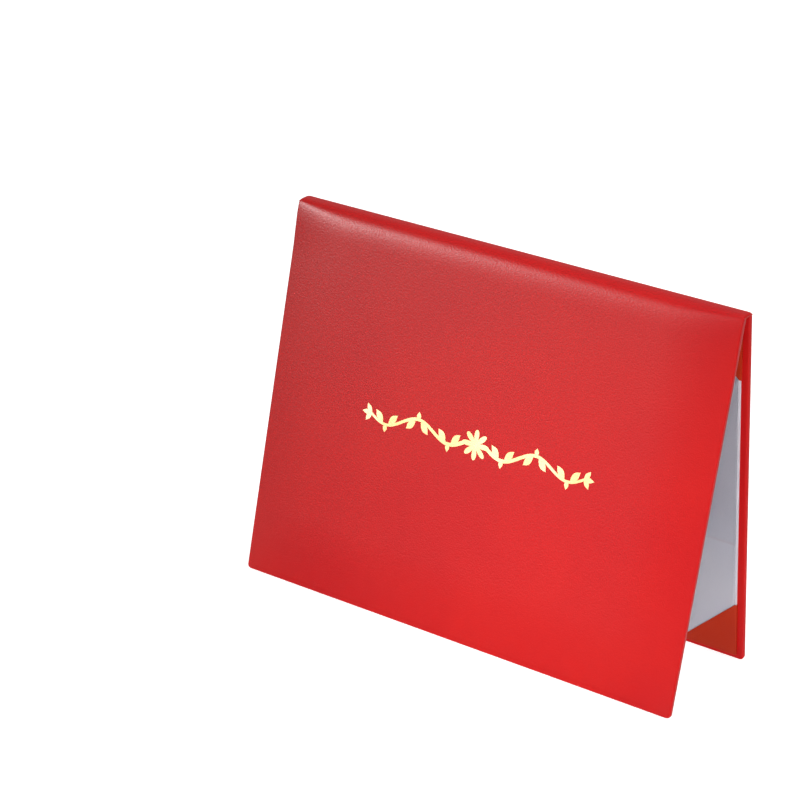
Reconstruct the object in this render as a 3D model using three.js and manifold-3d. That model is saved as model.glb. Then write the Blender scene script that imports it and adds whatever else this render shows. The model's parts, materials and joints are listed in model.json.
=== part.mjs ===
// A padded diploma cover that stands open like a tent.
// Two covers hang from a flat spine strip. The front one is padded and carries a
// foil ornament. The back one holds a clear sheet under four corner tabs.
// Millimetres, +Z up, +X along the spine, the padded front faces -Y.
// The origin is on the table, under the middle of the spine.

import * as THREE from 'three';
import { mergeVertices } from 'three/addons/utils/BufferGeometryUtils.js';
import Module from 'manifold-3d';

const wasm = await Module();
wasm.setup();

// Covers
const coverLength = 292;        // along the spine
const coverHeight = 228.6;       // from the fold at the spine to the foot
const standAngle = 10.3;        // lean of each cover from upright, in degrees
const cornerRadius = 2.5;       // outer corners of a cover, seen square on
const edgeRadius = 1.2;         // rounding where the skin turns over the board

// Sheets, from the outside in
const skin = 0.6;               // leatherette
const board = 1.9;              // stiff grey board
const card = 0.7;               // lining card, proud of the turned-in skin
const film = 0.15;              // clear sheet over the lining
const tabSheet = 0.3;           // leatherette of the corner tabs
const linerSheet = 0.5;         // strip inside the spine
const foilSheet = 0.2;          // foil ornament
const glue = 0.1;               // glue line between two sheets
const sheetSlot = 0.3;          // room for a certificate between clear sheet and tab

// Foam on the front board
const foamEdge = 0.4;           // foam left under the skin at the turned edges
const foamCrown = 4;            // rise of the padded face above its edges
const foamEase = 42;            // distance over which the foam rises from an edge
const rollRound = 17;           // distance from the fold over which the foam rounds up
const rollEnd = 3.3;            // rise of the roll at its two ends
const rollStart = 6;            // distance from the fold where the roll's ends are full
const rollReach = 31;           // distance from the fold where the roll's ends die out

// Inside of a cover
const sideBorder = 4.2;         // skin left showing beside the lining
const footBorder = 4.2;         // skin left showing below the lining
const foldBorder = 6;           // liner left showing between fold and lining
const turnIn = 15;              // skin turned over the board's inner face
const mitreSlit = 0.3;          // slit where two turned-in flaps meet
const wingReach = 20;           // liner strip glued to the board, from the fold
const sheetClearance = 0.3;     // room beside a sheet let in between others
const overrun = 6;              // length past the fold of a form that is cut back later
const leastRounding = 0.3;      // smallest rounding left on an inner face

// Corner tabs
const tabLeg = 36;              // length of a tab along each side of the lining
const tabFlap = 8;              // width of the flap turned under the lining
const filmMargin = 1.5;         // lining left showing round the clear sheet

// Spine
const closedGap = 0.3;          // room left between the two covers when shut
const hingeClearance = 0.4;     // room between the spine strip and a cover's edge

// Foil ornament
const ornamentLength = 156;
const ornamentHeight = 18;
const ornamentRise = 118.5;     // its middle, above the foot of the cover
const rosettePetals = 8;
const petalRoot = 0.34;         // where petals part, as a share of the rosette's radius
const vineStart = 7.2;          // where the vine leaves the rosette, from the middle
const vineWaves = 3;            // half waves of the vine on each side
const vineWidth = 2.3;
const vineTip = 1.5;            // width of the vine at its end
const leafLength = 10;
const leafWidth = 4.2;
const leafStem = 1.3;           // width of a leaf where it leaves the vine
const leafLean = 0.52;          // reach of a leaf along the vine, as a share of its length
const leafCurl = 0.3;           // how far a leaf's tip bends back, as a share of its length
const leafSpread = 0.11;        // from a wave's crest to a leaf's root, as a share of the wave
const budLength = 4.6;          // short leaf on the outer side of each crest
const budWidth = 2.9;
const finialSize = 6;
const finialWidth = 3.1;
const finialSpread = 60;        // angle between the finial's lobes, in degrees

// Fineness of the padded face and of the ornament's outlines
const lengthSteps = 30;
const heightSteps = 24;
const petalSteps = 12;
const waveSteps = 14;
const leafSteps = 9;

// Colours from the photograph's red leatherette, pale linings and gold foil
const redSkin = new THREE.MeshStandardMaterial({ color: 0xc3262a, roughness: 0.55, metalness: 0 });
const redTab = new THREE.MeshStandardMaterial({ color: 0xb22a18, roughness: 0.5, metalness: 0 });
const greyBoard = new THREE.MeshStandardMaterial({ color: 0x8d8478, roughness: 0.9, metalness: 0 });
const whiteFoam = new THREE.MeshStandardMaterial({ color: 0xe9e4d8, roughness: 0.95, metalness: 0 });
const paleCard = new THREE.MeshStandardMaterial({ color: 0xd9d3d8, roughness: 0.45, metalness: 0 });
const clearFilm = new THREE.MeshStandardMaterial({
  color: 0xf2f4f7, roughness: 0.08, metalness: 0, transparent: true, opacity: 0.3,
});
const goldFoil = new THREE.MeshStandardMaterial({ color: 0xf2cf8e, roughness: 0.25, metalness: 0.9 });

// Depths inward from the outer face of a cover, which is at depth 0
function stackOf(foam) {
  const boardOuter = skin + glue + (foam > 0 ? foam + glue : 0);
  const boardInner = boardOuter + board;
  const turned = boardInner + glue + skin;
  const cardUnder = turned + glue;
  const cardFace = cardUnder + card;
  const filmUnder = cardFace + glue;
  const filmFace = filmUnder + film;
  const tabUnder = filmFace + sheetSlot;
  const tabFace = tabUnder + tabSheet;
  return {
    boardOuter, boardInner, turned, cardUnder, cardFace, filmUnder, filmFace, tabUnder, tabFace,
  };
}
const backStack = stackOf(0);
const frontStack = stackOf(foamEdge);

const spineWidth = backStack.tabFace + closedGap + frontStack.cardFace;
const spineStack = skin + glue + linerSheet;
const setback = spineStack + hingeClearance;
const boardStart = setback + linerSheet + glue;

const lean = THREE.MathUtils.degToRad(standAngle);
const halfLength = coverLength / 2;

// A leaning cover stands on the rounded inner edge of its foot
const foldHeight = (coverHeight - edgeRadius) * Math.cos(lean)
  + (frontStack.turned - edgeRadius) * Math.sin(lean) + edgeRadius;

// A closed geometry as a solid that can be joined and cut
function solidOf(geometry) {
  geometry.deleteAttribute('normal');
  geometry.deleteAttribute('uv');
  const merged = mergeVertices(geometry, 1e-4);
  const mesh = new wasm.Mesh({
    numProp: 3,
    vertProperties: new Float32Array(merged.attributes.position.array),
    triVerts: new Uint32Array(merged.index.array),
  });
  return new wasm.Manifold(mesh);
}

function geometryOf(solid) {
  const mesh = solid.getMesh();
  const geometry = new THREE.BufferGeometry();
  geometry.setAttribute('position', new THREE.BufferAttribute(mesh.vertProperties, 3));
  geometry.setIndex(new THREE.BufferAttribute(mesh.triVerts, 1));
  geometry.computeVertexNormals();
  return geometry;
}

// A cover is built with x along the spine, y outward from its outer face and z
// down from the fold, so an outline in x and z is extruded along y.
function slab(outline, nearDepth, farDepth, rounding = 0) {
  const thickness = farDepth - nearDepth;
  const geometry = new THREE.ExtrudeGeometry(outline, {
    depth: thickness - 2 * rounding,
    bevelEnabled: rounding > 0,
    bevelThickness: rounding,
    bevelSize: rounding,
    bevelOffset: -rounding,
    bevelSegments: 3,
    curveSegments: 4,
  });
  geometry.rotateX(Math.PI / 2);
  geometry.translate(0, -nearDepth - rounding, 0);
  return solidOf(geometry);
}

function rectangle(xMin, xMax, zMin, zMax, radius = 0) {
  const shape = new THREE.Shape();
  if (radius <= 0) {
    shape.moveTo(xMin, zMin);
    shape.lineTo(xMax, zMin);
    shape.lineTo(xMax, zMax);
    shape.lineTo(xMin, zMax);
    shape.closePath();
    return shape;
  }
  shape.moveTo(xMin + radius, zMin);
  shape.lineTo(xMax - radius, zMin);
  shape.absarc(xMax - radius, zMin + radius, radius, -Math.PI / 2, 0, false);
  shape.lineTo(xMax, zMax - radius);
  shape.absarc(xMax - radius, zMax - radius, radius, 0, Math.PI / 2, false);
  shape.lineTo(xMin + radius, zMax);
  shape.absarc(xMin + radius, zMax - radius, radius, Math.PI / 2, Math.PI, false);
  shape.lineTo(xMin, zMin + radius);
  shape.absarc(xMin + radius, zMin + radius, radius, Math.PI, 1.5 * Math.PI, false);
  return shape;
}

function block(xMin, xMax, nearDepth, farDepth, zMin, zMax) {
  return slab(rectangle(xMin, xMax, zMin, zMax), nearDepth, farDepth);
}

// Eases from 0 at t = 0 to 1 at t = 1 along a parabola that arrives level
function ease(t) {
  const held = Math.min(Math.max(t, 0), 1);
  return 1 - (1 - held) ** 2;
}

// Rises from 0 at t = 0 to 1 at t = 1 along a quarter circle
function quarterRound(t) {
  const held = Math.min(Math.max(t, 0), 1);
  return Math.sqrt(1 - (1 - held) ** 2);
}

// Rise of the padded face above its turned edges, at x along the spine and z from
// the fold. The foam is drawn down at the sides and the foot and left full beside
// the spine, where it ends in a roll.
function padRise(x, z, inset) {
  const fromSide = halfLength - Math.abs(x) - inset;
  const fromFoot = coverHeight - z - inset;
  const fromFold = z - inset;
  const rollPart = ease((rollReach - z) / (rollReach - rollStart));
  const endRise = rollEnd * rollPart * rollPart;
  const acrossRise = endRise + (foamCrown - endRise) * ease((fromSide - edgeRadius) / foamEase);
  const sideRound = quarterRound((fromSide - edgeRadius) / edgeRadius);
  const footRise = ease((fromFoot - edgeRadius) / foamEase);
  return acrossRise * sideRound * footRise * quarterRound(fromFold / rollRound);
}

// Places from low to high that crowd towards both ends
function crowded(low, high, steps) {
  return Array.from({ length: steps + 1 }, (_, i) => {
    const share = 0.5 - 0.5 * Math.cos(Math.PI * i / steps);
    return low + (high - low) * share;
  });
}

// A closed solid between a surface y = top(x, z) and the flat plane y = floor
function mound(xs, zs, top, floor) {
  const positions = [];
  const upper = (i, j) => i * zs.length + j;
  const lower = (i, j) => xs.length * zs.length + i * zs.length + j;
  xs.forEach((x) => zs.forEach((z) => positions.push(x, top(x, z), z)));
  xs.forEach((x) => zs.forEach((z) => positions.push(x, floor, z)));
  const faces = [];
  const quad = (a, b, c, d) => faces.push(a, b, c, c, b, d);
  const lastX = xs.length - 1;
  const lastZ = zs.length - 1;
  for (let i = 0; i < lastX; i += 1) {
    for (let j = 0; j < lastZ; j += 1) {
      quad(upper(i, j), upper(i, j + 1), upper(i + 1, j), upper(i + 1, j + 1));
      quad(lower(i, j), lower(i + 1, j), lower(i, j + 1), lower(i + 1, j + 1));
    }
    quad(upper(i, 0), upper(i + 1, 0), lower(i, 0), lower(i + 1, 0));
    quad(upper(i, lastZ), lower(i, lastZ), upper(i + 1, lastZ), lower(i + 1, lastZ));
  }
  for (let j = 0; j < lastZ; j += 1) {
    quad(upper(0, j), lower(0, j), upper(0, j + 1), lower(0, j + 1));
    quad(upper(lastX, j), upper(lastX, j + 1), lower(lastX, j), lower(lastX, j + 1));
  }
  const geometry = new THREE.BufferGeometry();
  geometry.setAttribute('position', new THREE.Float32BufferAttribute(positions, 3));
  geometry.setIndex(faces);
  return solidOf(geometry);
}

// Everything inside a cover's outer face, drawn in by an inset on all sides. It
// runs past the fold, and is cut back to the setback where a sheet ends there.
function envelope(stack, inset, padded) {
  const radius = Math.max(cornerRadius - inset, leastRounding);
  const rounding = Math.max(edgeRadius - inset, leastRounding);
  const outline = rectangle(
    -halfLength + inset, halfLength - inset,
    -overrun, coverHeight - inset, radius,
  );
  let body = slab(outline, inset, stack.turned - inset, rounding);
  if (padded) {
    const side = halfLength - edgeRadius - inset;
    const xs = crowded(-side, side, lengthSteps);
    const zs = crowded(setback, coverHeight - edgeRadius - inset, heightSteps);
    const rootDepth = -(inset + foamEdge / 2);
    body = body.add(mound(xs, zs, (x, z) => padRise(x, z, inset) - inset, rootDepth));
  }
  return body;
}

// The half of space past the setback, to trim a cover's skin beside the spine
function pastSetback() {
  return block(-coverLength, coverLength, -coverHeight, coverHeight, setback, 2 * coverHeight);
}

// Leatherette over the outer face, turned in at both sides and the foot, with the
// flaps mitred at the two outer corners
function wrapSolid(stack, padded) {
  const shell = envelope(stack, 0, padded).intersect(pastSetback());
  const cavity = envelope(stack, skin, padded);
  const window = block(
    -halfLength + turnIn, halfLength - turnIn,
    stack.boardInner, stack.turned + skin,
    -overrun, coverHeight - turnIn,
  );
  return shell.subtract(cavity).subtract(window)
    .subtract(mitre(stack, -1)).subtract(mitre(stack, 1));
}

// A slit at 45 degrees through the turned-in skin of one outer corner
function mitre(stack, side) {
  const outer = edgeRadius + skin;
  const inner = turnIn + skin;
  const across = mitreSlit / Math.SQRT2;
  const slit = new THREE.Shape();
  const corner = (inFromSide, upFromFoot) => [side * (halfLength - inFromSide), coverHeight - upFromFoot];
  slit.moveTo(...corner(outer + across, outer));
  slit.lineTo(...corner(inner + across, inner));
  slit.lineTo(...corner(inner, inner + across));
  slit.lineTo(...corner(outer, outer + across));
  slit.closePath();
  return slab(slit, stack.boardInner, stack.turned + skin);
}

// Board with its edges eased to lie inside the turned skin
function boardSolid(stack) {
  const inset = skin + glue;
  const outline = rectangle(
    -halfLength + inset, halfLength - inset,
    boardStart, coverHeight - inset, cornerRadius - inset,
  );
  return slab(outline, stack.boardOuter, stack.boardInner, edgeRadius - inset);
}

// Foam between the front board and the skin, with the padded face's own form
function foamSolid(stack) {
  const inset = skin + glue;
  const foamUnder = inset + foamEdge;
  const aboveBoard = block(
    -coverLength, coverLength, -coverHeight, foamUnder, boardStart, 2 * coverHeight,
  );
  return envelope(stack, inset, true).intersect(aboveBoard);
}

// The part of the spine's inner strip that turns down over a board's edge, and is
// glued to the board's inner face between the two side flaps
function wingSolid(stack) {
  const outer = skin + glue;
  const edgeEnd = setback + linerSheet;
  const edgeHalf = halfLength - edgeRadius;
  const wingHalf = halfLength - turnIn - sheetClearance;
  const overEdge = block(-edgeHalf, edgeHalf, outer, stack.boardInner, setback, edgeEnd);
  const bend = block(-wingHalf, wingHalf, outer, stack.turned, setback, edgeEnd);
  const onBoard = block(-wingHalf, wingHalf, stack.boardInner + glue, stack.turned, setback, wingReach);
  return overEdge.add(bend).add(onBoard);
}

const cardHalf = halfLength - sideBorder;
const cardFoot = coverHeight - footBorder;

// Lining card. Its middle is pressed into the well between the turned-in flaps,
// and its corners are pressed thinner over the flaps of the tabs.
function liningSolid(stack, withTabs) {
  let lining = block(-cardHalf, cardHalf, stack.cardUnder, stack.cardFace, foldBorder, cardFoot);
  const wellHalf = halfLength - turnIn - sheetClearance;
  const well = block(
    -wellHalf, wellHalf,
    stack.boardInner + glue, stack.cardUnder + glue,
    wingReach + sheetClearance, coverHeight - turnIn - sheetClearance,
  );
  lining = lining.add(well);
  if (withTabs) {
    tabCorners().forEach((corner) => {
      const room = tabFlap + sheetClearance;
      const recess = slab(
        tabTriangle(corner, glue + tabSheet, sheetClearance),
        stack.turned, stack.cardUnder + tabSheet + glue,
      );
      lining = lining.subtract(recess.subtract(tabInside(corner, room, stack.turned, stack.cardFace)));
    });
  }
  return lining;
}

// The four corners of the lining: its sign along x, its z, and the sign of the way in
function tabCorners() {
  return [
    { name: 'tab_fold_right', x: -1, z: foldBorder, into: 1 },
    { name: 'tab_fold_left', x: 1, z: foldBorder, into: 1 },
    { name: 'tab_foot_right', x: -1, z: cardFoot, into: -1 },
    { name: 'tab_foot_left', x: 1, z: cardFoot, into: -1 },
  ];
}

// A tab's triangle, standing out past the card by a reach and longer by an extra
function tabTriangle(corner, reach, extra = 0) {
  const tip = tabLeg + reach + extra;
  const at = (alongX, alongZ) => [
    corner.x * (cardHalf + reach - alongX),
    corner.z - corner.into * (reach - alongZ),
  ];
  const shape = new THREE.Shape();
  shape.moveTo(...at(0, 0));
  shape.lineTo(...at(tip, 0));
  shape.lineTo(...at(0, tip));
  shape.closePath();
  return shape;
}

// The square that lies inside a corner of the card, past a width from both edges
function tabInside(corner, width, nearDepth, farDepth) {
  const xNear = corner.x * (cardHalf - width);
  const xFar = corner.x * (cardHalf - 2 * tabLeg);
  const zNear = corner.z + corner.into * width;
  const zFar = corner.z + corner.into * 2 * tabLeg;
  return block(
    Math.min(xNear, xFar), Math.max(xNear, xFar), nearDepth, farDepth,
    Math.min(zNear, zFar), Math.max(zNear, zFar),
  );
}

// A tab lies over the clear sheet's corner, wraps the card's two edges and is
// glued under the card
function tabSolid(stack, corner) {
  const whole = slab(tabTriangle(corner, glue + tabSheet), stack.cardUnder, stack.tabFace);
  const cardSlot = tabInside(corner, -glue, stack.cardUnder + tabSheet, stack.tabUnder);
  const underWindow = tabInside(corner, tabFlap, stack.turned, stack.cardFace);
  return whole.subtract(cardSlot).subtract(underWindow);
}

function filmSolid(stack) {
  return block(
    -cardHalf + filmMargin, cardHalf - filmMargin,
    stack.filmUnder, stack.filmFace,
    foldBorder + filmMargin, cardFoot - filmMargin,
  );
}

// A closed ribbon of changing width along a path, as an outline
function ribbon(path, width, steps) {
  const left = [];
  const right = [];
  for (let i = 0; i <= steps; i += 1) {
    const t = i / steps;
    const point = path(t);
    const ahead = path(Math.min(t + 1e-3, 1));
    const behind = path(Math.max(t - 1e-3, 0));
    const way = ahead.clone().sub(behind).normalize();
    const half = width(t) / 2;
    left.push(new THREE.Vector2(point.x - way.y * half, point.y + way.x * half));
    right.push(new THREE.Vector2(point.x + way.y * half, point.y - way.x * half));
  }
  return new THREE.Shape([...left, ...right.reverse()]);
}

// An outline round a centre, with its radius given for each angle
function rosetteOutline(points, radiusAt) {
  const corners = Array.from({ length: points }, (_, i) => {
    const angle = 2 * Math.PI * i / points;
    return new THREE.Vector2(Math.cos(angle), Math.sin(angle)).multiplyScalar(radiusAt(angle));
  });
  return new THREE.Shape(corners);
}

// A leaf from its root along a curl, pointed at its tip
function leafOutline(root, reach, rise, curl, width) {
  const path = (t) => new THREE.Vector2(
    root.x + reach * t,
    root.y + rise * (t - curl * t * t),
  );
  const swell = (t) => (leafStem + (width - leafStem) * Math.sin(Math.PI * t)) * (1 - t ** 4);
  return ribbon(path, swell, leafSteps);
}

// Outlines of the foil ornament, laid out about its middle: a rosette, and on each
// side a waving vine with leaves in every hollow, a bud on every crest and a
// three-lobed finial at its end
function ornamentOutlines() {
  const rosetteRadius = ornamentHeight / 2;
  const rootRadius = rosetteRadius * petalRoot;
  const outlines = [rosetteOutline(petalSteps * rosettePetals, (angle) => {
    const lobe = Math.abs(Math.cos(rosettePetals * angle / 2));
    return rootRadius + (rosetteRadius - rootRadius) * lobe;
  })];
  const vineEnd = ornamentLength / 2 - finialSize;
  const swing = ornamentHeight / 2 - budLength;
  for (const side of [-1, 1]) {
    const vine = (t) => new THREE.Vector2(
      side * (vineStart + (vineEnd - vineStart) * t),
      swing * Math.sin(vineWaves * Math.PI * t),
    );
    outlines.push(ribbon(vine, (t) => vineWidth + (vineTip - vineWidth) * t, waveSteps * vineWaves));
    for (let wave = 0; wave < vineWaves; wave += 1) {
      const hollow = wave % 2 === 0 ? -1 : 1;
      const rise = hollow * leafLength;
      for (const turn of [-1, 1]) {
        const root = vine((wave + 0.5 + leafSpread * turn) / vineWaves);
        outlines.push(leafOutline(root, turn * side * leafLength * leafLean, rise, leafCurl, leafWidth));
      }
      const crest = vine((wave + 0.5) / vineWaves);
      outlines.push(leafOutline(crest, 0, -hollow * budLength, 0, budWidth));
    }
    const tip = vine(1);
    for (const lobe of [-1, 0, 1]) {
      const way = lobe * THREE.MathUtils.degToRad(finialSpread);
      const reach = side * finialSize * Math.cos(way);
      outlines.push(leafOutline(tip, reach, finialSize * Math.sin(way), 0, finialWidth));
    }
  }
  return outlines;
}

// Foil ornament on the flat of the padded face
function ornamentSolid() {
  const face = -(foamCrown + glue);
  return ornamentOutlines()
    .map((outline) => slab(outline, face - foilSheet, face))
    .reduce((whole, piece) => whole.add(piece))
    .translate([0, 0, coverHeight - ornamentRise]);
}

function named(name, solid, material) {
  const mesh = new THREE.Mesh(geometryOf(solid), material);
  mesh.name = name;
  return mesh;
}

// Back cover: board, skin, liner wing, lining, clear sheet and its four tabs
function backCover() {
  const group = new THREE.Group();
  group.add(named('back_board', boardSolid(backStack), greyBoard));
  group.add(named('back_wrap', wrapSolid(backStack, false), redSkin));
  group.add(named('back_liner_wing', wingSolid(backStack), redSkin));
  group.add(named('back_lining', liningSolid(backStack, true), paleCard));
  group.add(named('clear_sheet', filmSolid(backStack), clearFilm));
  tabCorners().forEach((corner) => {
    group.add(named(corner.name, tabSolid(backStack, corner), redTab));
  });
  group.position.set(0, spineWidth / 2, foldHeight);
  group.rotation.set(lean, Math.PI, 0);
  return group;
}

// Front cover: board, foam, skin, liner wing, lining and the foil ornament
function frontCover() {
  const group = new THREE.Group();
  group.add(named('front_board', boardSolid(frontStack), greyBoard));
  group.add(named('foam_pad', foamSolid(frontStack), whiteFoam));
  group.add(named('front_wrap', wrapSolid(frontStack, true), redSkin));
  group.add(named('front_liner_wing', wingSolid(frontStack), redSkin));
  group.add(named('front_lining', liningSolid(frontStack, false), paleCard));
  group.add(named('foil_ornament', ornamentSolid(), goldFoil));
  group.position.set(0, -spineWidth / 2, foldHeight);
  group.rotation.set(Math.PI - lean, 0, 0);
  return group;
}

// Spine: the skin between the two folds and the strip that lines it
function spine() {
  const group = new THREE.Group();
  const strip = (thickness) => new THREE.BoxGeometry(coverLength, spineWidth, thickness);
  const skinStrip = strip(skin);
  skinStrip.translate(0, 0, -skin / 2);
  const linerStrip = strip(linerSheet);
  linerStrip.translate(0, 0, -skin - glue - linerSheet / 2);
  group.add(named('spine_wrap', solidOf(skinStrip), redSkin));
  group.add(named('spine_liner', solidOf(linerStrip), redSkin));
  group.position.set(0, 0, foldHeight);
  return group;
}

const diplomaCover = new THREE.Group();
diplomaCover.add(backCover(), spine(), frontCover());

export default diplomaCover;
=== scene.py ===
"""Looks of a padded diploma cover that stands open like a tent.

A cover's own axes are x along the spine, w outward from its outer face and v down
from the fold. Lengths in this script are metres.
"""
import json
import math

import bmesh
import bpy
import numpy as np
from mathutils import Matrix, Vector


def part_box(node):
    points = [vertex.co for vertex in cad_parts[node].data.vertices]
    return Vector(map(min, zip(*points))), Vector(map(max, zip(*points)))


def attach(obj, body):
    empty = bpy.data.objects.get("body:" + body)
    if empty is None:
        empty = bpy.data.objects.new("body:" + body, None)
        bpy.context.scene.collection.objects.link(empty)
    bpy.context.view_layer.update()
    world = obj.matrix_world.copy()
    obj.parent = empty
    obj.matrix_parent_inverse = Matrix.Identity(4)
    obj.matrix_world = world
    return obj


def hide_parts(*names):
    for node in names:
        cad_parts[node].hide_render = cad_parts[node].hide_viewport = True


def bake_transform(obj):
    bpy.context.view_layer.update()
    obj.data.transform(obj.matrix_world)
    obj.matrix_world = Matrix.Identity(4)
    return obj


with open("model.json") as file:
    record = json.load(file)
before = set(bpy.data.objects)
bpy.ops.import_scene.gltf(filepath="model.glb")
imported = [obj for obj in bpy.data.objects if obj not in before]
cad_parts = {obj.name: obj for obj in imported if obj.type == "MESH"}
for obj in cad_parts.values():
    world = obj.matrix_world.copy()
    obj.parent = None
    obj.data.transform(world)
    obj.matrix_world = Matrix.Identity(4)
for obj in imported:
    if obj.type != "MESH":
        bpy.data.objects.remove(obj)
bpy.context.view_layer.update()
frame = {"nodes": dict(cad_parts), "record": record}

MM = 0.001

# Sizes that the frame gives
JOINTS = {joint["name"]: joint for joint in frame["record"]["behaviour"]["joints"]}
LEAN = math.radians(-JOINTS["back_hinge"]["range_deg"][0])
HALF_SPINE = JOINTS["back_hinge"]["pos_m"][1]
FOLD_Z = JOINTS["back_hinge"]["pos_m"][2]
HALF_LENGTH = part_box("back_wrap")[1][0]

# Sizes of one cover
HEIGHT = 228.6 * MM
SKIN = 0.6 * MM
WALL_PLAY = 0.05 * MM        # taken off the skin's wall, so that it clears what it lies on
GLUE = 0.1 * MM
CORNER = 2.5 * MM            # outer corner of a cover
RIM = {"back": 0.8 * MM, "front": 1.1 * MM}      # radius of the skin's outer turn
RIM_UNDER = 1.2 * MM         # radius with which the skin turns under the board
TURN_SHARE = 0.45            # most of a cover's thickness that one of the turns takes
TURN_IN = 15 * MM
FOLD_TURN_IN = 4.4 * MM      # the same on the spine, where the flap is cut back
FLAP_CUT = 2 * MM            # distance from the fold at which the cut ends
STRIP_DEPTH = 1.2 * MM       # skin and liner of the spine strip
SETBACK = 1.6 * MM           # distance from the fold at which a cover's inner side starts
DEPTH = {"back": 3.3 * MM, "front": 3.8 * MM}    # outer face to the turned-in skin

# Lining, clear sheet and corner tabs
CARD = 0.7 * MM
CARD_CORNER = 0.6 * MM
CARD_ROUNDING = 0.2 * MM
FILM = 0.15 * MM
SHEET_SLOT = 0.3 * MM        # room for a certificate under the tabs
TAB_SHEET = 0.3 * MM
TAB_CORNER = 0.8 * MM
TAB_ROUNDING = 0.14 * MM
TAB_LEG = 36 * MM
WRAP_SHORT = 1 * MM          # what a tab's wrapped strips stop short of its legs
WRAP_CORNER = 0.12 * MM
WRAP_ROUNDING = 0.1 * MM
SIDE_BORDER = 4.2 * MM
FOOT_BORDER = 4.2 * MM
FOLD_BORDER = 6 * MM
CARD_HALF = HALF_LENGTH - SIDE_BORDER
CARD_FOOT = HEIGHT - FOOT_BORDER

# Insets of the flap's last rings, to both sides of the lining's edge and at its own edge
FLAP_INSETS = np.array([SIDE_BORDER - 1.4 * MM, SIDE_BORDER + 1 * MM, TURN_IN])

# Padded face
FOAM_CROWN = 4.15 * MM
FOAM_EASE = 44 * MM          # width over which the crown rises from an edge
END_RISE = 0.9 * MM          # rise of the roll at its two ends
END_TOP = 6 * MM             # distances from the fold between which that rise fades
END_FOOT = 31 * MM
FOAM_UNDER = -1.1 * MM       # the foam's flat underside
FOAM_START = 2.3 * MM        # distance of the foam from the fold
FOAM_PLAY = 0.05 * MM        # extra room between the foam and the skin
FOAM_EDGE = 0.02 * MM        # least thickness of the foam

# Spine, which arches between the folds and runs into each cover along one curve
ARCH = 0.6 * MM
ARCH_END = 2.5 * MM          # length over which the arch comes down at its two ends
ROLL_REACH = 17 * MM         # distance from the fold at which the padded face starts
ROLL_REACH_END = 8 * MM
BEND_REACH = 4 * MM          # the same on the unpadded cover
BARE_PULL = 3.0              # weight of the fold curve's corner where there is no padding
PAD_PULL = 1.6               # what full padding takes off it

# Camera, as fitted to the outline of the padded cover
CAMERA_PLACE = (0.682937, -1.151603, 0.689382)
CAMERA_AZIMUTH = math.radians(33.225)
CAMERA_ELEVATION = math.radians(22.587)
CAMERA_ROLL = math.radians(3.015)
FOCAL_PIXELS = 2531.736
IMAGE_SIDE = 800
SENSOR = 36


# Cover axes

SIN_LEAN, COS_LEAN = math.sin(LEAN), math.cos(LEAN)


def placed(points, side):
    """Points (x, w, v) on a cover as points of the row frame. The fold lies half a
    spine width from the middle, w runs along the outward normal and v down the lean."""
    x, w, v = points[..., 0], points[..., 1], points[..., 2]
    outward = -1 if side == "front" else 1
    y = outward * (HALF_SPINE + w * COS_LEAN + v * SIN_LEAN)
    z = FOLD_Z + w * SIN_LEAN - v * COS_LEAN
    return np.stack([x, y, z], axis=-1)


def ease(t):
    """0 at t = 0 to 1 at t = 1 along a parabola that arrives level."""
    held = np.clip(t, 0, 1)
    return 1 - (1 - held) ** 2


def smooth(low, high, value):
    """0 below low to 1 above high with level ends: 3 t^2 - 2 t^3."""
    t = np.clip((value - low) / (high - low), 0, 1)
    return t * t * (3 - 2 * t)


def pad_rise(x, v):
    """Rise of the padded face above its turned edges. It climbs from the sides and
    the foot along parabolas, and its two ends stay fuller near the fold."""
    from_side = HALF_LENGTH - np.abs(x)
    end = END_RISE * (1 - smooth(END_TOP, END_FOOT, v))
    across = end + (FOAM_CROWN - end) * ease(from_side / FOAM_EASE)
    return across * ease((HEIGHT - v) / FOAM_EASE)


def flat_rise(x, v):
    """The unpadded face lies level."""
    return np.zeros(np.broadcast(x, v).shape)


def fold_curve(x, t, rise):
    """Section of the skin from the crest of the spine (t = 0) to the start of a face
    (t = 1), as w and v, and v of that start. It is a rational quadratic curve between
    the level tangent at the crest and the plane of the face, so it has no crease. The
    crest comes down at the two ends of the spine along a quarter ellipse."""
    padded = rise is pad_rise
    from_side = np.clip((HALF_LENGTH - np.abs(x)) / ARCH_END, 0, 1)
    crest = ARCH * np.sqrt(1 - (1 - from_side) ** 2)
    fullness = pad_rise(x, ROLL_REACH) / FOAM_CROWN if padded else 0 * x
    if padded:
        last_v = ROLL_REACH_END + (ROLL_REACH - ROLL_REACH_END) * fullness
    else:
        last_v = BEND_REACH + 0 * x
    last_w = rise(x, last_v)
    first_w = -HALF_SPINE * COS_LEAN + crest * SIN_LEAN
    first_v = -HALF_SPINE * SIN_LEAN - crest * COS_LEAN
    corner_v = (last_w * SIN_LEAN - crest) / COS_LEAN
    pull = BARE_PULL - PAD_PULL * fullness
    share = (1 - t) ** 2, 2 * pull * t * (1 - t), t ** 2
    total = share[0] + share[1] + share[2]
    w = (share[0] * first_w + share[1] * last_w + share[2] * last_w) / total
    v = (share[0] * first_v + share[1] * corner_v + share[2] * last_v) / total
    return w, v, last_v


def crowded(half, columns):
    """Places from -half to half that crowd towards both ends: sines of equal steps."""
    return half * np.sin(np.linspace(-math.pi / 2, math.pi / 2, columns))


# Meshes

DOUBLES = 0.002 * MM         # distance under which points are merged
FINE_DOUBLES = 0.001 * MM    # the same on the tabs


def grid_faces(rows, columns, start=0):
    """Quads of a rows by columns grid of points that follow each other by row."""
    corner = (np.arange(rows - 1)[:, None] * columns + np.arange(columns - 1)).ravel() + start
    return np.stack([corner, corner + 1, corner + columns + 1, corner + columns], axis=1)


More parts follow.
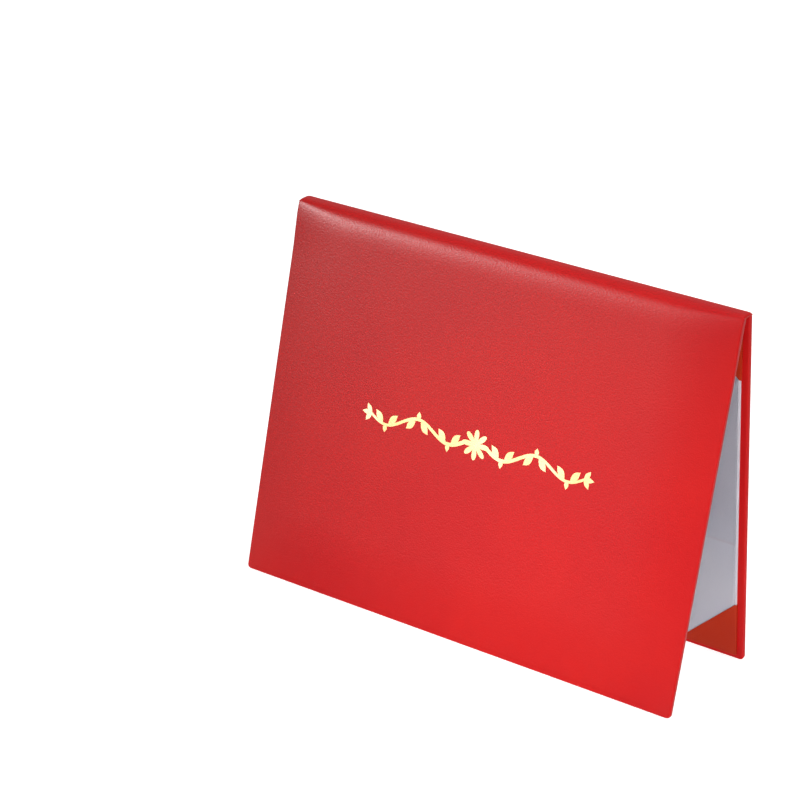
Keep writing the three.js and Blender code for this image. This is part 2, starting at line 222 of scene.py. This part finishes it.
def make_mesh(name, vertices, faces, merge=DOUBLES):
    """A mesh object from arrays, with doubles merged and normals pointing out."""
    mesh = bpy.data.meshes.new(name)
    mesh.from_pydata(np.asarray(vertices).reshape(-1, 3).tolist(), [], [list(f) for f in faces])
    work = bmesh.new()
    work.from_mesh(mesh)
    bmesh.ops.remove_doubles(work, verts=work.verts, dist=merge)
    bmesh.ops.dissolve_degenerate(work, edges=work.edges, dist=merge / 2)
    bmesh.ops.recalc_face_normals(work, faces=work.faces)
    work.to_mesh(mesh)
    work.free()
    mesh.update()
    piece = bpy.data.objects.new(name, mesh)
    bpy.context.scene.collection.objects.link(piece)
    return piece


def shade(piece, material, angle=50):
    """Smooth shading up to an angle between faces, and one material."""
    piece.data.materials.clear()
    piece.data.materials.append(material)
    piece.data.shade_smooth()
    piece.data.set_sharp_from_angle(angle=math.radians(angle))


def bake_modifiers(piece):
    """Replaces the piece's mesh by its evaluated one and drops its modifiers."""
    depsgraph = bpy.context.evaluated_depsgraph_get()
    final = bpy.data.meshes.new_from_object(piece.evaluated_get(depsgraph))
    old = piece.data
    piece.modifiers.clear()
    piece.data = final
    bpy.data.meshes.remove(old)


def thicken(piece, thickness):
    """Gives an outer surface its inner wall."""
    wall = piece.modifiers.new("wall", "SOLIDIFY")
    wall.thickness = thickness
    wall.offset = -1
    bake_modifiers(piece)


# Skin of a cover

COLUMNS = 121
FOLD_STEPS = 30
FACE_STEPS = 72
TURN_STEPS = 8
UNDER_STEPS = 5
CORNER_STEPS = 10
FOAM_COLUMNS = 61


def section_points(x, foot, rise):
    """Rows of the skin at each x from the crest of the spine to a place near the
    foot: w and v, first along the fold's curve and then down the face."""
    t = np.linspace(0, 1, FOLD_STEPS)[:, None]
    down = (np.arange(1, FACE_STEPS + 1) / FACE_STEPS)[:, None]
    fold_w, fold_v, start = fold_curve(x[None], t, rise)
    face_v = start + (foot - start) * down
    face_w = rise(x[None], face_v)
    return np.concatenate([fold_w, face_w]), np.concatenate([fold_v, face_v])


def cover_skin(name, side, rise):
    """Skin of one cover from the middle of the spine to the foot, with its rim and
    its turned-in flaps. The face is a grid over x and its rows. The rim is a section
    carried round the two sides and the foot: it leaves the face at an inset, turns
    down along a quarter ellipse, and turns under the board along a quarter circle."""
    half_face = HALF_LENGTH - CORNER
    xs = crowded(half_face, COLUMNS)
    grid_w, grid_v = section_points(xs, HEIGHT - CORNER, rise)
    face = np.stack([xs + 0 * grid_w, grid_w, grid_v], axis=-1)

    radius = RIM[side]
    turn = np.linspace(0, math.pi / 2, TURN_STEPS)
    under = np.linspace(0, math.pi / 2, UNDER_STEPS)[1:]
    lead_in = np.array([CORNER, (CORNER + radius) / 2])
    insets = np.concatenate([
        lead_in, radius * (1 - np.sin(turn)), RIM_UNDER * (1 - np.cos(under)), FLAP_INSETS,
    ])
    drops = np.concatenate([
        0 * lead_in, radius * (1 - np.cos(turn)), -RIM_UNDER * (1 - np.sin(under)), 0 * FLAP_INSETS,
    ])
    from_top = np.arange(len(insets)) < len(lead_in) + TURN_STEPS
    rings = [
        rim_ring(inset, drop, top, xs / half_face, rise, DEPTH[side], radius)
        for inset, drop, top in zip(insets, drops, from_top)
    ]
    rim = np.stack(rings)
    faces = [grid_faces(*face.shape[:2])]
    faces.append(grid_faces(*rim.shape[:2], start=face.shape[0] * face.shape[1]))
    points = np.concatenate([face.reshape(-1, 3), rim.reshape(-1, 3)])
    return make_mesh(name, placed(points, side), np.concatenate(faces))


def rim_ring(inset, drop, from_top, across, rise, depth, turn_down):
    """One ring of the rim, at an inset from the edge: down one side, round a corner,
    along the foot and back up. Where it belongs to the outer turn its drop is taken
    from the face, and otherwise from the turned-in side. On the spine the flap is cut
    back, so that it doesn't bunch up when the cover opens."""
    reach = max(inset, CORNER)
    side_x = -(HALF_LENGTH - inset)
    side_w, side_v = section_points(np.array([side_x]), HEIGHT - reach, rise)
    side_w, side_v = side_w[:, 0], side_v[:, 0]
    corner_turn = np.linspace(0, math.pi / 2, CORNER_STEPS)[1:-1]
    radius = max(CORNER - inset, 0)
    arc_x = -(HALF_LENGTH - reach) - radius * np.cos(corner_turn)
    arc_v = HEIGHT - reach + radius * np.sin(corner_turn)
    arc_w = rise(arc_x, arc_v)
    foot_x = (HALF_LENGTH - reach) * across
    foot_v = (HEIGHT - inset) * np.ones(len(across))
    foot_w = rise(foot_x, foot_v)
    flap = np.where(side_v < FLAP_CUT, FOLD_TURN_IN, TURN_IN)
    run_x = -(HALF_LENGTH - np.minimum(inset, flap))
    x = np.concatenate([run_x, arc_x, foot_x, -arc_x[::-1], -run_x[::-1]])
    v = np.concatenate([side_v, arc_v, foot_v, arc_v[::-1], side_v[::-1]])
    top_w = np.concatenate([side_w, arc_w, foot_w, arc_w[::-1], side_w[::-1]])
    from_fold = top_w * COS_LEAN + v * SIN_LEAN
    on_spine = from_fold < 0
    floor_v = np.where(on_spine, STRIP_DEPTH, np.maximum(v, SETBACK))
    floor_w = np.where(on_spine, np.minimum(from_fold, -depth), -depth)
    span = np.hypot(floor_v - v, floor_w - top_w)
    scale = np.minimum(1, TURN_SHARE * span / max(turn_down, RIM_UNDER))
    share = np.where(from_top, drop * scale, span + drop * scale) / span
    return np.stack([x, top_w + (floor_w - top_w) * share, v + (floor_v - v) * share], axis=-1)


def foam_core(name):
    """Foam under the padded skin: the skin's own rows, moved in by its thickness and
    cut off at the board's edge, over a flat underside."""
    xs = crowded(HALF_LENGTH - SKIN - GLUE, FOAM_COLUMNS)
    foot = HEIGHT - SKIN - GLUE
    skin_w, skin_v = section_points(xs, foot, pad_rise)
    top_w = np.maximum(skin_w - SKIN - GLUE - FOAM_PLAY, FOAM_UNDER + FOAM_EDGE)
    top = np.stack([xs + 0 * skin_w, top_w, np.maximum(skin_v, FOAM_START)], axis=-1)
    under = top.copy()
    under[..., 1] = FOAM_UNDER
    rows, columns = top.shape[:2]
    walls = [np.stack([top[0], under[0]]), np.stack([top[-1], under[-1]]),
             np.stack([top[:, 0], under[:, 0]]), np.stack([top[:, -1], under[:, -1]])]
    points, faces, start = [], [], 0
    for sheet in (top, under, *walls):
        points.append(sheet.reshape(-1, 3))
        faces.append(grid_faces(*sheet.shape[:2], start=start))
        start += len(points[-1])
    return make_mesh(name, placed(np.concatenate(points), "front"), np.concatenate(faces))


# Flat sheets with a rounded edge

def rounded_outline(corners, radius, steps=6):
    """Points round a convex outline, given anticlockwise, with an arc at each corner."""
    corners = np.asarray(corners, float)
    before = np.roll(corners, 1, axis=0) - corners
    after = np.roll(corners, -1, axis=0) - corners
    before /= np.linalg.norm(before, axis=1, keepdims=True)
    after /= np.linalg.norm(after, axis=1, keepdims=True)
    half = np.arccos(np.sum(before * after, axis=1)) / 2
    middle = before + after
    middle /= np.linalg.norm(middle, axis=1, keepdims=True)
    centre = corners + middle * (radius / np.sin(half))[:, None]
    spread = math.pi / 2 - half
    turn = np.linspace(-1, 1, steps + 1)
    heading = np.arctan2(-middle[:, 1], -middle[:, 0])
    angle = heading[:, None] + spread[:, None] * turn
    ring = centre[:, None] + radius * np.stack([np.cos(angle), np.sin(angle)], axis=-1)
    return ring.reshape(-1, 2)


def sheet_solid(name, side, corners, near, far, radius, rounding, merge=DOUBLES):
    """A flat sheet between two depths: its outline's rings shrink along quarter
    circles at both faces, and each face closes with one polygon."""
    turn = np.linspace(0, math.pi / 2, 5)
    insets = np.concatenate([rounding * (1 - np.sin(turn)), rounding * (1 - np.sin(turn))[::-1]])
    depths = np.concatenate([
        near + rounding * (1 - np.cos(turn)), far - rounding * (1 - np.cos(turn))[::-1],
    ])
    rings = []
    corners = np.asarray(corners, float)
    for inset, at_depth in zip(insets, depths):
        ring = rounded_outline(inset_outline(corners, inset), max(radius - inset, 1e-5))
        rings.append(np.column_stack([ring[:, 0], np.full(len(ring), -at_depth), ring[:, 1]]))
    rings = np.stack(rings)
    count = rings.shape[1]
    closed = np.concatenate([rings, rings[:, :1]], axis=1)
    faces = [tuple(f) for f in grid_faces(len(rings), count + 1)]
    faces.append(tuple(range(count)))
    last = (len(rings) - 1) * (count + 1)
    faces.append(tuple(range(last, last + count)))
    return make_mesh(name, placed(closed.reshape(-1, 3), side), faces, merge)


def inset_outline(corners, inset):
    """A convex outline with each side moved inward."""
    before = corners - np.roll(corners, 1, axis=0)
    after = np.roll(corners, -1, axis=0) - corners
    before /= np.linalg.norm(before, axis=1, keepdims=True)
    after /= np.linalg.norm(after, axis=1, keepdims=True)
    left_before = np.stack([-before[:, 1], before[:, 0]], axis=1)
    left_after = np.stack([-after[:, 1], after[:, 0]], axis=1)
    bisector = left_before + left_after
    scale = inset / (1 + np.sum(left_before * left_after, axis=1))
    return corners + bisector * scale[:, None]


def lining_card(name, side):
    """Lining card of one cover, with softly rounded edges."""
    near = DEPTH[side] + GLUE
    corners = [
        (-CARD_HALF, FOLD_BORDER), (CARD_HALF, FOLD_BORDER),
        (CARD_HALF, CARD_FOOT), (-CARD_HALF, CARD_FOOT),
    ]
    return sheet_solid(name, side, corners, near, near + CARD, CARD_CORNER, CARD_ROUNDING)


def corner_tab(name, to_right, at_foot):
    """Triangular pocket over one corner of the back lining: the flat sheet of it. The strips that
    turn down over the card's edges at its two legs are made by tab_edge, and its long side stays
    thin."""
    across = 1 if to_right else -1
    into = -1 if at_foot else 1
    reach = GLUE + TAB_SHEET
    tip = TAB_LEG + reach
    z0 = CARD_FOOT if at_foot else FOLD_BORDER
    corner = np.array([across * (CARD_HALF + reach), z0 - into * reach])
    along = np.array([-across * tip, 0])
    down = np.array([0, into * tip])
    corners = [corner, corner + along, corner + down]
    if across * into > 0:
        corners = [corner, corner + down, corner + along]
    film_face = DEPTH["back"] + GLUE + CARD + GLUE + FILM
    near = film_face + SHEET_SLOT
    return sheet_solid(
        name, "back", corners, near, near + TAB_SHEET, TAB_CORNER, TAB_ROUNDING, FINE_DOUBLES)


def tab_edge(name, to_right, at_foot, along_side):
    """The strip of a tab that wraps one edge of the lining card."""
    across = 1 if to_right else -1
    into = -1 if at_foot else 1
    z0 = CARD_FOOT if at_foot else FOLD_BORDER
    outer = GLUE + TAB_SHEET
    near = DEPTH["back"] + GLUE
    far = DEPTH["back"] + GLUE + CARD + GLUE + FILM + SHEET_SLOT + TAB_SHEET / 2
    if along_side:
        xs = sorted([across * (CARD_HALF + GLUE), across * (CARD_HALF + outer)])
        zs = sorted([z0 - into * outer, z0 + into * (TAB_LEG - WRAP_SHORT)])
    else:
        xs = sorted([across * (CARD_HALF + outer), across * (CARD_HALF - TAB_LEG + WRAP_SHORT)])
        zs = sorted([z0 - into * GLUE, z0 - into * outer])
    corners = [(xs[0], zs[0]), (xs[1], zs[0]), (xs[1], zs[1]), (xs[0], zs[1])]
    return sheet_solid(
        name, "back", corners, near, far, WRAP_CORNER, WRAP_ROUNDING, FINE_DOUBLES)


# Materials

class Nodes:
    """Shorthand for making and wiring nodes in one tree."""

    def __init__(self, tree):
        self.tree = tree

    def add(self, kind, inputs=None, **settings):
        node = self.tree.nodes.new(kind)
        for key, value in settings.items():
            setattr(node, key, value)
        for key, value in (inputs or {}).items():
            self.feed(node.inputs[key], value)
        return node

    def feed(self, socket, value):
        if isinstance(value, bpy.types.NodeSocket):
            self.tree.links.new(value, socket)
        else:
            socket.default_value = value

    def math(self, operation, a, b=0.0):
        node = self.add("ShaderNodeMath", operation=operation)
        self.feed(node.inputs[0], a)
        self.feed(node.inputs[1], b)
        return node.outputs[0]

    def mix(self, share, a, b):
        node = self.add("ShaderNodeMix", data_type="RGBA")
        self.feed(node.inputs["Factor"], share)
        self.feed(node.inputs[6], a)
        self.feed(node.inputs[7], b)
        return node.outputs[2]

    def span(self, value, low, high, to_low, to_high):
        """The value carried from one range to another, and held at its ends."""
        node = self.add("ShaderNodeMapRange")
        for key, given in zip(("Value", "From Min", "From Max", "To Min", "To Max"),
                              (value, low, high, to_low, to_high)):
            self.feed(node.inputs[key], given)
        return node.outputs[0]


def grain_group():
    """Pebble grain of leatherette: cells of about the given size, softened at their
    edges, over a slow drift. It gives a height, and a mask of the drift."""
    group = bpy.data.node_groups.new("leatherette_grain", "ShaderNodeTree")
    group.interface.new_socket("Cells per metre", in_out="INPUT", socket_type="NodeSocketFloat")
    group.interface.new_socket("Drift per metre", in_out="INPUT", socket_type="NodeSocketFloat")
    group.interface.new_socket("Height", in_out="OUTPUT", socket_type="NodeSocketFloat")
    group.interface.new_socket("Drift", in_out="OUTPUT", socket_type="NodeSocketFloat")
    n = Nodes(group)
    given = n.add("NodeGroupInput")
    place = n.add("ShaderNodeTexCoord").outputs["Object"]
    cells = n.add(
        "ShaderNodeTexVoronoi", {"Vector": place, "Scale": given.outputs[0]}, feature="SMOOTH_F1")
    fine = n.add("ShaderNodeTexNoise", {
        "Vector": place, "Scale": n.math("MULTIPLY", given.outputs[0], 1.7), "Detail": 2.0})
    drift = n.add("ShaderNodeTexNoise", {
        "Vector": place, "Scale": given.outputs[1], "Detail": 3.0})
    pebble = n.span(cells.outputs["Distance"], 0.1, 0.7, 1.0, 0.0)
    height = n.math(
        "ADD", n.math("MULTIPLY", pebble, 0.65), n.math("MULTIPLY", fine.outputs["Fac"], 0.35))
    result = n.add("NodeGroupOutput")
    n.feed(result.inputs["Height"], height)
    n.feed(result.inputs["Drift"], drift.outputs["Fac"])
    return group


GRAIN = grain_group()


def new_material(name):
    """A material with its node shorthand and its shader."""
    material = bpy.data.materials.new(name)
    material.use_nodes = True
    nodes = Nodes(material.node_tree)
    return material, nodes, material.node_tree.nodes["Principled BSDF"]


def leatherette(name, deep, bright, roughness, cells, relief, level):
    """Satin leatherette: two reds that drift into each other under a pebble grain
    that also breaks up the gloss."""
    material, n, shader = new_material(name)
    grain = n.add("ShaderNodeGroup", node_tree=GRAIN)
    grain.inputs["Cells per metre"].default_value = cells
    grain.inputs["Drift per metre"].default_value = 14
    drift = n.span(grain.outputs["Drift"], 0.35, 0.65, 0, 1)
    valley = n.span(grain.outputs["Height"], 0.2, 0.75, 0.35, 0)
    tone = n.mix(drift, deep, bright)
    n.feed(shader.inputs["Base Color"], n.mix(valley, tone, deep))
    n.feed(shader.inputs["Roughness"], n.span(
        grain.outputs["Height"], 0.2, 0.8, roughness + 0.08, roughness - 0.06))
    bump = n.add("ShaderNodeBump", {
        "Height": grain.outputs["Height"], "Strength": relief, "Distance": 0.12 * MM})
    n.feed(shader.inputs["Normal"], bump.outputs[0])
    shader.inputs["Specular IOR Level"].default_value = level
    return material


def card_material(name, colour, warm, roughness):
    """Smooth card: faint fibres in colour and gloss."""
    material, n, shader = new_material(name)
    place = n.add("ShaderNodeTexCoord").outputs["Object"]
    cloud = n.add("ShaderNodeTexNoise", {"Vector": place, "Scale": 18.0, "Detail": 4.0})
    fibre = n.add("ShaderNodeTexNoise", {"Vector": place, "Scale": 900.0, "Detail": 3.0})
    n.feed(shader.inputs["Base Color"], n.mix(
        n.span(cloud.outputs["Fac"], 0.35, 0.65, 0, 1), colour, warm))
    n.feed(shader.inputs["Roughness"], n.span(
        fibre.outputs["Fac"], 0.3, 0.7, roughness - 0.04, roughness + 0.06))
    bump = n.add("ShaderNodeBump", {
        "Height": fibre.outputs["Fac"], "Strength": 0.06, "Distance": 0.1 * MM})
    n.feed(shader.inputs["Normal"], bump.outputs[0])
    return material


def board_material():
    """Grey board with the flecks of its pulp."""
    material, n, shader = new_material("grey_board")
    place = n.add("ShaderNodeTexCoord").outputs["Object"]
    fleck = n.add("ShaderNodeTexNoise", {"Vector": place, "Scale": 700.0, "Detail": 5.0})
    n.feed(shader.inputs["Base Color"], n.mix(
        n.span(fleck.outputs["Fac"], 0.4, 0.62, 0, 1), (0.16, 0.14, 0.12, 1), (0.3, 0.27, 0.23, 1)))
    shader.inputs["Roughness"].default_value = 0.9
    bump = n.add("ShaderNodeBump", {
        "Height": fleck.outputs["Fac"], "Strength": 0.3, "Distance": 0.2 * MM})
    n.feed(shader.inputs["Normal"], bump.outputs[0])
    return material


def foam_material():
    """Open-cell foam."""
    material, n, shader = new_material("foam")
    place = n.add("ShaderNodeTexCoord").outputs["Object"]
    cell = n.add("ShaderNodeTexVoronoi", {"Vector": place, "Scale": 1100.0})
    n.feed(shader.inputs["Base Color"], n.mix(
        n.span(cell.outputs["Distance"], 0, 0.7, 0, 1),
        (0.62, 0.58, 0.48, 1), (0.85, 0.82, 0.74, 1)))
    shader.inputs["Roughness"].default_value = 0.95
    bump = n.add("ShaderNodeBump", {
        "Height": cell.outputs["Distance"], "Strength": 0.6, "Distance": 0.4 * MM})
    n.feed(shader.inputs["Normal"], bump.outputs[0])
    return material


def film_material():
    """Clear film with faint waves in its gloss."""
    material, n, shader = new_material("clear_film")
    place = n.add("ShaderNodeTexCoord").outputs["Object"]
    wave = n.add("ShaderNodeTexNoise", {"Vector": place, "Scale": 9.0, "Detail": 1.0})
    shader.inputs["Base Color"].default_value = (0.97, 0.98, 1, 1)
    shader.inputs["Transmission Weight"].default_value = 1
    shader.inputs["IOR"].default_value = 1.45
    n.feed(shader.inputs["Roughness"], n.span(wave.outputs["Fac"], 0.3, 0.7, 0.03, 0.09))
    return material


def foil_material():
    """Hot gold foil pressed into the grain, a little thin where the grain is deep."""
    material, n, shader = new_material("gold_foil")
    grain = n.add("ShaderNodeGroup", node_tree=GRAIN)
    grain.inputs["Cells per metre"].default_value = 1100
    grain.inputs["Drift per metre"].default_value = 40
    n.feed(shader.inputs["Base Color"], n.mix(
        n.span(grain.outputs["Drift"], 0.35, 0.65, 0, 1),
        (0.60, 0.42, 0.19, 1), (0.68, 0.52, 0.30, 1)))
    shader.inputs["Metallic"].default_value = 1
    n.feed(shader.inputs["Roughness"], n.span(grain.outputs["Height"], 0.2, 0.8, 0.42, 0.26))
    bump = n.add("ShaderNodeBump", {
        "Height": grain.outputs["Height"], "Strength": 0.35, "Distance": 0.06 * MM})
    n.feed(shader.inputs["Normal"], bump.outputs[0])
    return material


RED = leatherette(
    "red_leatherette", (0.57, 0.007, 0.009, 1), (0.62, 0.010, 0.009, 1),
    roughness=0.38, cells=1200, relief=0.7, level=0.15)
TAB_RED = leatherette(
    "tab_leatherette", (0.46, 0.022, 0.004, 1), (0.54, 0.032, 0.006, 1),
    roughness=0.5, cells=1600, relief=0.25, level=0.2)
LINING = card_material("lining_card", (0.66, 0.64, 0.70, 1), (0.72, 0.69, 0.74, 1), 0.3)
BOARD = board_material()
FOAM = foam_material()
FILM_CLEAR = film_material()
FOIL = foil_material()


# The object

def dress_covers():
    """Skins of both covers, each reaching to the middle of the spine and bending at
    its fold."""
    for side, rise, nodes in (
        ("front", pad_rise, ("front_wrap", "spine_wrap")),
        ("back", flat_rise, ("back_wrap",)),
    ):
        skin = cover_skin(f"{side}_skin", side, rise)
        thicken(skin, SKIN - WALL_PLAY)
        shade(skin, RED)
        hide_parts(*nodes)
        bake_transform(skin)


def dress_pad():
    """Foam under the padded skin."""
    foam = foam_core("foam_core")
    shade(foam, FOAM)
    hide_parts("foam_pad")
    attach(foam, "front_cover")


def dress_linings():
    """Lining card of both covers."""
    for side in ("front", "back"):
        card = lining_card(f"{side}_lining_card", side)
        shade(card, LINING, 30)
        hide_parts(f"{side}_lining")
        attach(card, f"{side}_cover")


def dress_tabs():
    """Four corner tabs, each a sheet with two strips that wrap the card's edges."""
    for end in ("fold", "foot"):
        for hand in ("left", "right"):
            place = (hand == "right", end == "foot")
            tab = corner_tab(f"tab_{end}_{hand}_sheet", *place)
            edges = [
                tab_edge(f"tab_{end}_{hand}_side", *place, True),
                tab_edge(f"tab_{end}_{hand}_end", *place, False),
            ]
            for piece in (tab, *edges):
                shade(piece, TAB_RED, 40)
                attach(piece, "back_cover")
            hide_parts(f"tab_{end}_{hand}")


def finish_frame_nodes():
    """Materials of the frame nodes that show or carry the rest as they are."""
    for name, material in {
        "back_board": BOARD, "front_board": BOARD, "clear_sheet": FILM_CLEAR,
        "back_liner_wing": RED, "front_liner_wing": RED, "spine_liner": RED, "foil_ornament": FOIL,
    }.items():
        node = frame["nodes"][name]
        for slot in node.material_slots:
            slot.material = material


# Studio

FLOOR_HALF = 6.0
FLOOR_GLOW = 0.7             # what turns the seen floor white and still keeps the shadow
FLOOR_REFLECTED = 0.4        # share of that glow in reflections
WORLD_FILL = 0.36            # soft light from all round
WORLD_REFLECTED = 0.12       # how far reflections see the white background instead


def as_seen(n, reflected):
    """1 for rays from the camera and through the film, a share in reflections, or 0."""
    path = n.add("ShaderNodeLightPath")
    glossy = n.math("MULTIPLY", path.outputs["Is Glossy Ray"], reflected)
    return n.math("MAXIMUM", path.outputs["Is Camera Ray"], n.math(
        "MAXIMUM", glossy, path.outputs["Is Transmission Ray"]))


def studio_floor():
    """Pale floor that is white to the camera and in reflections, with the shadow."""
    half = FLOOR_HALF
    points = np.array([(-half, -half, 0), (half, -half, 0), (half, half, 0), (-half, half, 0)])
    floor = make_mesh("floor", points, [(0, 1, 2, 3)])
    material, n, shader = new_material("pale_floor")
    shader.inputs["Base Color"].default_value = (0.86, 0.86, 0.86, 1)
    shader.inputs["Roughness"].default_value = 0.9
    shader.inputs["Specular IOR Level"].default_value = 0.1
    shader.inputs["Emission Color"].default_value = (1, 1, 1, 1)
    n.feed(shader.inputs["Emission Strength"], n.math(
        "MULTIPLY", as_seen(n, FLOOR_REFLECTED), FLOOR_GLOW))
    floor.data.materials.append(material)


def studio_world():
    """White to the camera, and a grey fill to everything else."""
    world = bpy.data.worlds.new("studio")
    bpy.context.scene.world = world
    world.use_nodes = True
    n = Nodes(world.node_tree)
    background = world.node_tree.nodes["Background"]
    background.inputs["Color"].default_value = (1, 1, 1, 1)
    n.feed(background.inputs["Strength"], n.span(
        as_seen(n, WORLD_REFLECTED), 0, 1, WORLD_FILL, 1.0))


def lamp(name, kind, place, target, power):
    """A lamp at a place, turned to its target."""
    data = bpy.data.lights.new(name, kind)
    data.energy = power
    holder = bpy.data.objects.new(name, data)
    holder.location = place
    holder.rotation_euler = (Vector(target) - Vector(place)).to_track_quat("-Z", "Y").to_euler()
    bpy.context.scene.collection.objects.link(holder)
    return holder


def softbox(name, place, target, width, height, power, glossy_only=False):
    """A soft lamp. One that is glossy only shows as a reflection and lights nothing."""
    holder = lamp(name, "AREA", place, target, power)
    holder.data.shape = "RECTANGLE"
    holder.data.size = width
    holder.data.size_y = height
    holder.visible_diffuse = not glossy_only


def studio_lights():
    """A soft-edged key from the right that leaves the far end darker, a high fill,
    and two cards in front that the roll and the face reflect."""
    key = lamp("key", "SPOT", (0.85, -1.2, 0.7), (0.06, -0.04, 0.08), 104)
    key.data.spot_size = math.radians(17.2)
    key.data.spot_blend = 0.7
    key.data.shadow_soft_size = 0.2
    softbox("above", (0.2, 0.3, 1.8), (0, 0, 0), 1.2, 1.2, 10)
    softbox("roll_card", (-1.15, -1.05, 0.75), (0, 0, 0.2), 0.6, 0.55, 62, glossy_only=True)
    softbox("face_card", (-0.56, -1.3, 0.14), (0, 0, 0.15), 0.35, 0.4, 3, glossy_only=True)


def studio_camera():
    """Camera looking back along its azimuth and elevation, turned by its roll."""
    az, el, roll = CAMERA_AZIMUTH, CAMERA_ELEVATION, CAMERA_ROLL
    back = Vector((math.sin(az) * math.cos(el), -math.cos(az) * math.cos(el), math.sin(el)))
    right = Vector((math.cos(az), math.sin(az), 0))
    up = back.cross(right)
    turned_right = right * math.cos(roll) + up * math.sin(roll)
    turned_up = up * math.cos(roll) - right * math.sin(roll)
    data = bpy.data.cameras.new("camera")
    data.sensor_width = SENSOR
    data.lens = FOCAL_PIXELS / IMAGE_SIDE * SENSOR
    camera = bpy.data.objects.new("camera", data)
    turn = Matrix((turned_right, turned_up, back)).transposed().to_4x4()
    camera.matrix_world = Matrix.Translation(CAMERA_PLACE) @ turn
    bpy.context.scene.collection.objects.link(camera)
    bpy.context.scene.camera = camera


studio_camera()
dress_covers()
dress_pad()
dress_linings()
dress_tabs()
finish_frame_nodes()
studio_floor()
studio_world()
studio_lights()
bpy.context.scene.view_settings.view_transform = "Standard"
